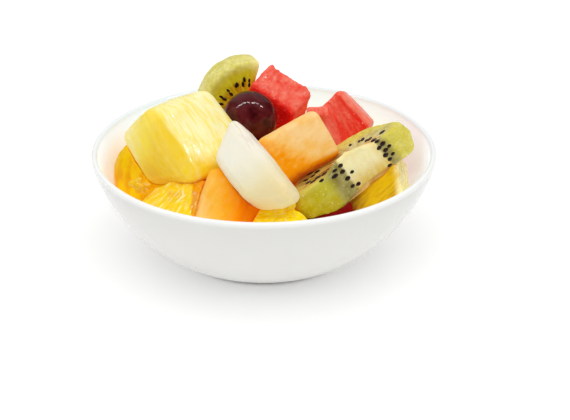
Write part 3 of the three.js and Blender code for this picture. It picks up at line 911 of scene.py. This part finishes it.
def kiwi_right_paint(core):
    paint = Paint("kiwi_right_paint", KIWI_WET, "kiwi_right")
    x, y, z = paint.x, paint.y, paint.z
    clouds = paint.noise(3.5, 3)
    fine = paint.noise(1.1, 2, 3)
    specks = paint.noise((0.7, 1.1, 1.1), 1, 9).rise(0.62, 0.74)
    columns = paint.noise((2.2, 6, 7), 2, 5)
    reach, rays = rays_of(paint, core, 0.8)
    bent = x + (clouds - 0.5) * 2.4 + z * 0.12

    cream = paint.layers(
        (222, 184, 70), (z.rise(-7, 2), (246, 233, 178)), (z.rise(5, 9.5) * 0.6, (228, 210, 136)),
        (bent.rise(9, 13) * 0.5, (226, 200, 104)),
        (columns.rise(0.35, 0.7) * 0.25, (255, 248, 210)))
    smoky = paint.mix(clouds.rise(0.3, 0.7), (142, 128, 66), (172, 160, 98))
    # The olive lobe is darker low down, and the pale strip along its upper ridge is a painted wet
    # highlight.
    olive = paint.layers(
        (188, 168, 0), (bent.rise(-26, -11), (194, 186, 50)),
        ((1 - z.rise(-8, 1)) * 0.6, (178, 148, 6)), (z.rise(2.5, 6.5) * 0.5, (210, 204, 120)),
        ((clouds * 0.6 + fine * 0.4).rise(0.4, 0.65) * 0.3, (216, 204, 80)))
    lime = paint.mix((clouds * 0.5 + fine * 0.5).rise(0.3, 0.7), (206, 192, 62), (224, 212, 112))
    cut = paint.layers(
        cream, (1 - bent.rise(-5, -3) + bent.rise(13, 14.5), smoky),
        (1 - bent.rise(-14.5, -8.5), olive), (bent.rise(15.5, 20), lime),
        # The lime along the cut's thin rims is painted rim light.
        (paint.mask("rim") * 0.5 * (1 - bent.rise(-8, -4)), (214, 200, 64)))

    warm = paint.mix(rays.rise(0.35, 0.65), (128, 74, 20), (214, 172, 84))
    green = paint.mix(rays.rise(0.3, 0.7), (196, 178, 104), (222, 210, 150))
    amber = paint.mix(rays.rise(0.4, 0.6), (196, 132, 58), (226, 184, 116))
    face = paint.layers(
        warm, (x.rise(-5, 7), green), ((1 - y.rise(2, 6)) * (1 - reach.rise(7, 10)), amber),
        (reach.rise(11, 17) * (0.35 + 0.65 * x.rise(-5, 10)), lime), (1 - x.rise(-25, -20), olive))
    # The pale specks are painted glints.
    colour = paint.layers(face, (1 - y.rise(-0.9, 0.6), cut), (specks * 0.4, (246, 244, 214)))
    return paint.wet_flesh(colour, rays + clouds + fine * 0.4, 0.25, 0.3 + clouds * 0.2, 0.9, 2.5)


def kiwi_back_paint(core):
    paint = Paint("kiwi_back_paint", KIWI_WET, "kiwi_back")
    clouds = paint.noise(4.5, 3)
    fine = paint.noise(1.4, 2, 3)
    reach, rays = rays_of(paint, core)
    wobble = reach + (clouds - 0.5) * 3
    cream = paint.mix(clouds, (248, 236, 160), (236, 214, 116))
    ring = paint.mix(rays.rise(0.35, 0.65), (192, 140, 10), (222, 192, 36))
    green = paint.mix((rays * 0.4 + clouds * 0.6).rise(0.3, 0.7), (200, 184, 10), (228, 214, 56))
    pale = paint.mix((fine * 0.5 + clouds * 0.5).rise(0.3, 0.7), (206, 196, 90), (232, 222, 144))
    # The pale outer band is partly a painted sheen, and the paler tip at the upper right is painted
    # light that shines through the thin edge.
    colour = paint.layers(
        cream, (wobble.rise(5, 7), ring), (wobble.rise(11.5, 14), green),
        (wobble.rise(15.5, 20.5), pale),
        (paint.towards(0.9, 0.44).rise(8, 14) * 0.7, (240, 224, 150)))
    return paint.wet_flesh(colour, rays + clouds + fine * 0.5, 0.25, 0.3 + clouds * 0.2, 0.4, 2.5)


KIWIS = {  # the middle of the core, whether the slice has a crest, its paint
    "kiwi_right": ((5, 0), 1, kiwi_right_paint),
    "kiwi_back": ((0, 0), 0, kiwi_back_paint),
}
for number, (name, (core, proud, kiwi_paint)) in enumerate(KIWIS.items()):
    show(flesh(name, kiwi_relief, core, 50 + number, press=press_seeds(proud)),
         name, kiwi_paint(core))

# %% [markdown]
# A kiwi seed is a flat black drop, about 2.5 mm long. Where it sits is easiest to say in the front
# view, as a pixel of a frame of 570 by 420. The seed is sunk in where a ray from the camera through
# that pixel meets the flesh, with its long side away from the core. Wide seeds are listed first,
# then thin ones, which lie on their narrow side.

# %% Kiwi seeds
SEED_SIZE = (2.5, 1.8, 1.1)
THIN_SEED_SIZES = {"kiwi_right": (3.1, 1.6, 1), "kiwi_back": (2.5, 1.3, 0.95)}
SEED_LIFT, SEED_GROWTH, SEED_SPREAD = 0.05, 0.95, 0.15
FRAME_WIDE, FRAME_HIGH = 570, 420
SEED_MARKS = {
    "kiwi_right": (
        [(340.4, 165.7), (342.4, 171.7), (351.9, 172), (347.6, 178.4), (358.3, 183.9), (352.6, 186),
         (382.9, 143.4), (389.3, 145.9), (385.7, 149.9), (379.3, 147.7), (392.9, 153.7),
         (385.7, 154.9), (390, 158.9), (389.7, 165.1)],
        [(334.7, 176.3), (334.7, 170.6), (324.3, 174.1), (317.1, 172), (312.9, 176.3), (310, 174),
         (305.7, 180.6), (308.1, 183), (312.9, 182), (321.4, 180.6), (317.9, 177.7), (350.3, 145.1),
         (359.3, 141.3), (362.9, 139.4), (366.4, 140.6), (370, 139.1), (373.6, 140.3),
         (377.1, 141.3), (382.4, 132.3)],
    ),
    "kiwi_back": (
        [(237, 84.7)],
        [(244.3, 79.5), (249.3, 80.5), (243, 84.3), (249.2, 84.8), (221, 96.8), (224.2, 99),
         (228, 90.5), (231, 94), (221, 104), (235.8, 86)],
    ),
}


def view_ray(right_px, down_px):
    """The direction in which the camera sees a pixel of the frame."""
    per_mm = SENSOR_MM / FRAME_WIDE
    right = (right_px - FRAME_WIDE / 2) * per_mm
    up = (FRAME_HIGH / 2 - down_px) * per_mm
    return (VIEW_RIGHT * right + VIEW_UP * up - VIEW_BACK * LENS_MM).normalized()


def drop(net, centre, length_way, normal, size):
    """A drop, blunt at one end and pointed at the other, flat against the normal."""
    across = normal.cross(length_way).normalized()
    basis = Matrix((length_way, across, normal)).transposed()
    for vert in bmesh.ops.create_icosphere(net, subdivisions=3, radius=0.5)["verts"]:
        spot = vert.co.copy()
        taper = 1 - 0.45 * max(0, spot.x * 2) ** 1.5
        local = Vector((spot.x * size[0], spot.y * size[1] * taper, spot.z * size[2] * taper))
        vert.co = (centre + basis @ local) * MM


def seeds_for(name, wide, thin, core):
    """All the seeds of one slice, as one piece in the slice's own frame."""
    kiwi = bpy.data.objects[f"{name}_flesh"]
    into = placement(name).inverted()
    net = bmesh.new()
    sizes = [SEED_SIZE] * len(wide) + [THIN_SEED_SIZES[name]] * len(thin)
    for number, (mark, size) in enumerate(zip(wide + thin, sizes)):
        _, spot, normal, _ = kiwi.ray_cast(camera.location, view_ray(*mark))
        spot = into @ spot / MM
        normal = into.to_3x3() @ normal
        out = Vector((spot.x - core[0], spot.y - core[1], 0))
        out = (out - normal * out.dot(normal)).normalized()
        grow = SEED_GROWTH + SEED_SPREAD * math.sin(number * 2.4)
        drop(net, spot + normal * SEED_LIFT, out, normal, [side * grow for side in size])
    return from_net(f"{name}_seeds", net)


def seed_paint():
    finish = {"Roughness": 0.4, "Coat Weight": 0.3, "Specular IOR Level": 0.2}
    paint = Paint("kiwi_seed_paint", finish)
    mottle = paint.noise(0.7, 2)
    return paint.done(paint.mix(mottle, (20, 8, 8), (58, 28, 22)), mottle, 0.08)


black = seed_paint()
for name, (wide, thin) in SEED_MARKS.items():
    show(seeds_for(name, wide, thin, KIWIS[name][0]), name, black, whole=False)

# %% [markdown]
# ## Grapes
# A black grape is a taut, almost smooth ball, a little longer than wide, with a thin grey bloom,
# half rubbed away. It is so dark that reflections do most of the work, so the skin gets a clear
# coat. The bloom is a veil in patches, rougher and more violet than the skin.

# %% Grapes
def grape_relief(points, normals):
    return 0.12 * lattice_noise(points / 6, 71) + 0.02 * lattice_noise(points / 1.5, 72)


def grape_paint():
    paint = Paint("grape_paint", {
        "Coat Weight": 0.45, "Coat Roughness": 0.03, "IOR": 1.4, "Specular IOR Level": 0.08,
        "Subsurface Weight": 0.2, "Subsurface Radius": (1, 0.15, 0.1), "Subsurface Scale": 0.004,
    })
    clouds = paint.noise(6, 3)
    dots = paint.noise(1, 1).rise(0.64, 0.74)
    dimples = paint.noise(2.4, 2, 4)
    bloom = clouds.rise(0.25, 0.75)
    skin = paint.mix(clouds.rise(0.3, 0.7), (52, 0, 4), (96, 4, 4))
    colour = paint.layers(skin, (bloom * 0.4, (108, 50, 60)), (dots * 0.35, (150, 84, 30)))
    return paint.done(colour, clouds + dimples * 0.5, 0.14, 0.18 + bloom * 0.3)


skin = grape_paint()
for name in ("grape_front", "grape_back"):
    show(flesh(name, grape_relief, fine=0.7, soft=24), name, skin)

# %% [markdown]
# ## Orange
# A skinned orange segment is a bundle of juice sacs: long clear drops that run from the round back
# to the thin inner edge, held by a papery film. The sacs are ridges in the mesh, and the film
# between them is pale, in patches that are partly painted highlights.

# %% Orange
STRAW, GOLD, AMBER_JUICE = (255, 238, 160), (247, 204, 14), (230, 152, 0)


def sac_relief(points, normals, width, length, way, fan, lift, seed):
    """Long rounded sacs that run from the back to the inner edge, drawing together."""
    sacs = lattice_noise(drawn_out(points, width, length, way, fan), seed)
    small = lattice_noise(drawn_out(points, width * 0.5, length * 0.4, way, fan), seed + 1)
    slow = lattice_noise(points / 6, seed + 2)
    return lift * (0.6 - np.abs(sacs) * 2) + lift * 0.25 * small + 0.25 * slow


def orange_paint(name, clear, deep, sacs_run, film, tone, seed=0, juice=0.5):
    """sacs_run: their width, length, way and fan; film: how pale the skin between them is, with its
    painted highlights.
    """
    finish = WET | {"Subsurface Radius": (1, 0.55, 0.1), "Emission Strength": 0.56}
    paint = Paint(f"{name}_paint", finish, name)
    width, length, way, fan = sacs_run
    sacs = paint.fibres(width, length, way, seed, fan)
    fine = paint.fibres(width * 0.45, length * 0.7, way, seed + 2, fan)
    clouds = paint.noise(7, 2, seed + 5)
    depth = (clouds * 0.5 + sacs * 0.35 + fine * 0.15 + (tone(paint) - 0.5)).rise(0.35, 0.65)
    # Patches where the pale film is strongest: partly painted highlights along the sacs.
    highlight_share = (fine * 0.5 + clouds * 0.5).rise(0.42, 0.6) * 0.6 + 0.4
    film = (fine * 0.7 + sacs * 0.3).rise(0.46, 0.66) * highlight_share * (1 - depth * 0.7) * film
    colour = paint.layers(clear, (depth, deep), (film, STRAW))
    return paint.wet_flesh(colour, sacs + fine * 0.6, 0.18, 0.25 + clouds * 0.15, juice, seed=seed)


def front_orange_tone(paint):
    return 0.37 + paint.towards(1, 0).rise(2, 5) * 0.55


ORANGES = {  # the run of the sacs, how far they stand up, film, tone, juice
    "orange_left": ((4, 14, (0.1, 1), 0), 0.06, 0.06, level(0.26, 0.4), 0.2),
    "orange_front": ((2.3, 24, (0.4, 1), 0.03), 0.45, 0.75, front_orange_tone, 0.8),
    "orange_back": ((1.9, 12, (0, 1), 0), 0.3, 0.6, level(0.3), 0.5),
}
for number, (name, (sacs_run, lift, film, tone, juice)) in enumerate(ORANGES.items()):
    sacs_run = (*sacs_run[:2], seen(name, *sacs_run[2]), sacs_run[3])
    paint = orange_paint(name, GOLD, AMBER_JUICE, sacs_run, film, tone, number * 4, juice)
    show(flesh(name, sac_relief, *sacs_run, lift, 80 + number, fine=0.5), name, paint)

# %% [markdown]
# The loose bit of orange is only a few sacs that have come away together: short drops, each pointed
# at one end. They are made one by one and melted into one lump by the remesh.

# %% Loose sacs
PULP_FINE, PULP_MELT = 0.28, 9
PULP_SACS = [  # middle, turn about z in degrees, length and width, in millimetres
    ((-3.1, -0.6, 0.8), 20, 4.6, 3), ((-1.2, 1, 1.6), 65, 5, 2.8),
    ((0.6, -0.9, 2.2), -15, 5.2, 3), ((2.4, 0.8, 1), 40, 4.8, 3),
    ((3.3, -1, 0.2), -30, 4.4, 2.6), ((-0.4, 0.2, -1.2), 5, 7.2, 4.4),
    ((1.8, 0, -1.8), 30, 5.6, 3.8), ((-2.6, 0.4, -1.6), -40, 5, 3.6),
    ((0.2, -1.6, 0.2), 80, 4.2, 2.8),
]


def loose_sacs(name):
    net = bmesh.new()
    for centre, angle, length, width in PULP_SACS:
        turn = math.radians(angle)
        way = Vector((math.cos(turn), math.sin(turn), 0.25)).normalized()
        drop(net, Vector(centre), way, Vector((0, 0, 1)), (length, width, width))
    piece = from_net(f"{name}_flesh", net)
    change(piece, "REMESH", mode="VOXEL", voxel_size=PULP_FINE * MM)
    change(piece, "SMOOTH", iterations=PULP_MELT)
    points, normals = surface(piece)
    write(piece, points + normals * 0.08 * lattice_noise(points / 1.1, 91)[:, None])
    return piece


paint = orange_paint("orange_pulp", (240, 190, 24), (226, 158, 4), (2, 5, (1, 0, 0), 0),
                     0.7, level(0.3), 12, 1)
show(loose_sacs("orange_pulp"), "orange_pulp", paint)

# %% [markdown]
# ## The layer beneath
# Between the upper pieces a few patches of the next layer show. It is finished like the rest, only
# on a coarser net, and a wet bed of packed fruit closes the bowl below it.

# %% The layer beneath
UNDER = [name for name in frame["nodes"] if name.startswith("under_")]
UNDER_PAINTS = {
    "cantaloupe": melon_paint("under_cantaloupe", LOWER_STOPS, level(0.3, 1)),
    "honeydew": melon_paint("under_honeydew", CREAM_STOPS, level(0.1, 1)),
    "watermelon": watermelon_paint("under_watermelon", level(0, 1), dark=0.8),
    "pineapple": pineapple_paint("under_pineapple", ALONG_Y,
                                 ((250, 226, 130), (244, 200, 50), (226, 160, 8)),
                                 level(0.4), level(0.3)),
}
for name in UNDER:
    fruit = name.split("_")[-1]
    piece = flesh(name, melon_relief, len(name), 0.1, fine=1, soft=4)
    show(piece, name, UNDER_PAINTS[fruit])

piece = flesh("packed_fruit", melon_relief, 9, 0.2, 0.6, fine=1.4, soft=4)
bed = melon_paint("packed_fruit", LOWER_STOPS, level(0.2, 1, 6))
show(piece, "packed_fruit", bed)

# %% [markdown]
# ## The table
# A plain pale table, larger than any view and no part of the salad. It glows faintly and evenly, as
# in a white tent, but not near the bowl's foot: leaving the glow out there paints a darker shade
# under the bowl.

# %% Table
TABLE_HALF = 3
SHADE_FROM, SHADE_TO = 35.2, 39.4  # millimetres from the bowl's middle


def table_paint():
    paint = Paint("table_paint", {"Roughness": 0.9, "Specular IOR Level": 0,
                                  "Emission Strength": 0.25})
    x, y = paint.x, paint.y
    # No glow near the bowl's foot, which paints a darker contact shade there.
    glow_outside_foot = ((x * x + y * y) ** 0.5).rise(SHADE_FROM, SHADE_TO)
    colour = paint.mix(paint.noise(90, 2), (246, 246, 246), (249, 249, 249))
    return paint.done(colour, glow=paint.mix(glow_outside_foot, (0, 0, 0), (255, 255, 255)))


net = bmesh.new()
bmesh.ops.create_grid(net, x_segments=8, y_segments=8, size=TABLE_HALF)
table = from_net("table", net)
table.data.materials.append(table_paint())
print("the table is", TABLE_HALF * 2, "m wide")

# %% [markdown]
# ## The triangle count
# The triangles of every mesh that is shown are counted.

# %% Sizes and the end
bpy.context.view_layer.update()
triangles = sum(len(p.vertices) - 2 for o in scene.objects if o.type == "MESH"
                and not o.hide_render for p in o.data.polygons)
print("triangles shown:", triangles)
